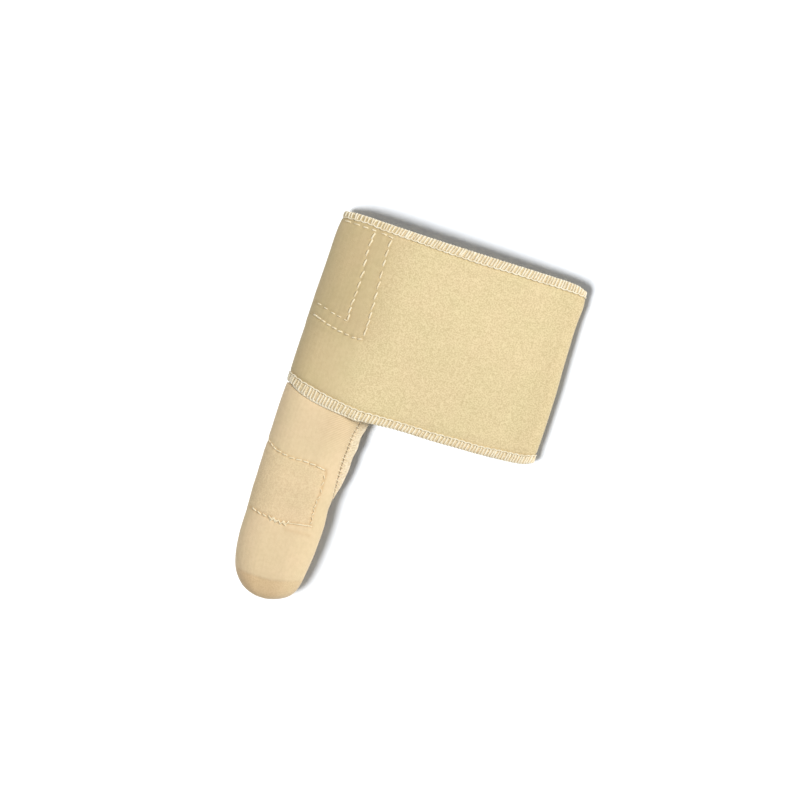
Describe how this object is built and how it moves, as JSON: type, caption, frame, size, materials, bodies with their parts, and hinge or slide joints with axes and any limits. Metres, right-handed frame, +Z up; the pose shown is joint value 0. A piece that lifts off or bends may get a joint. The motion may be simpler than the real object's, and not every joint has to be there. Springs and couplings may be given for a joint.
{
  "type": "bunion corrector",
  "caption": "Soft cloth bunion corrector lying flat: a wide forefoot band with overlocked rims and a closed sleeve for the big toe.",
  "frame": {"origin": "under the middle of the whole, on the surface that it lies on", "axes": "+Z up out of that surface, +Y towards the heel-side rim of the band, +X from the big toe's side to the little toe's side"},
  "size_m": [0.1084, 0.1616, 0.0142],
  "materials": {
    "band_cloth": "matt beige suede-like stretch cloth with a fine mottled nap",
    "sleeve_cloth": "matt beige suede-like stretch cloth, a little warmer than the band",
    "thread": "cream sewing thread, overlocked over the cut edges"
  },
  "bodies": {
    "root": {"forefoot_band": "band_cloth", "toe_sleeve": "sleeve_cloth", "heel_side_overlock": "thread", "toe_side_overlock": "thread", "web_seam_overlock": "thread", "band_patch": "band_cloth", "toe_patch": "sleeve_cloth"}
  },
  "joints": []
}
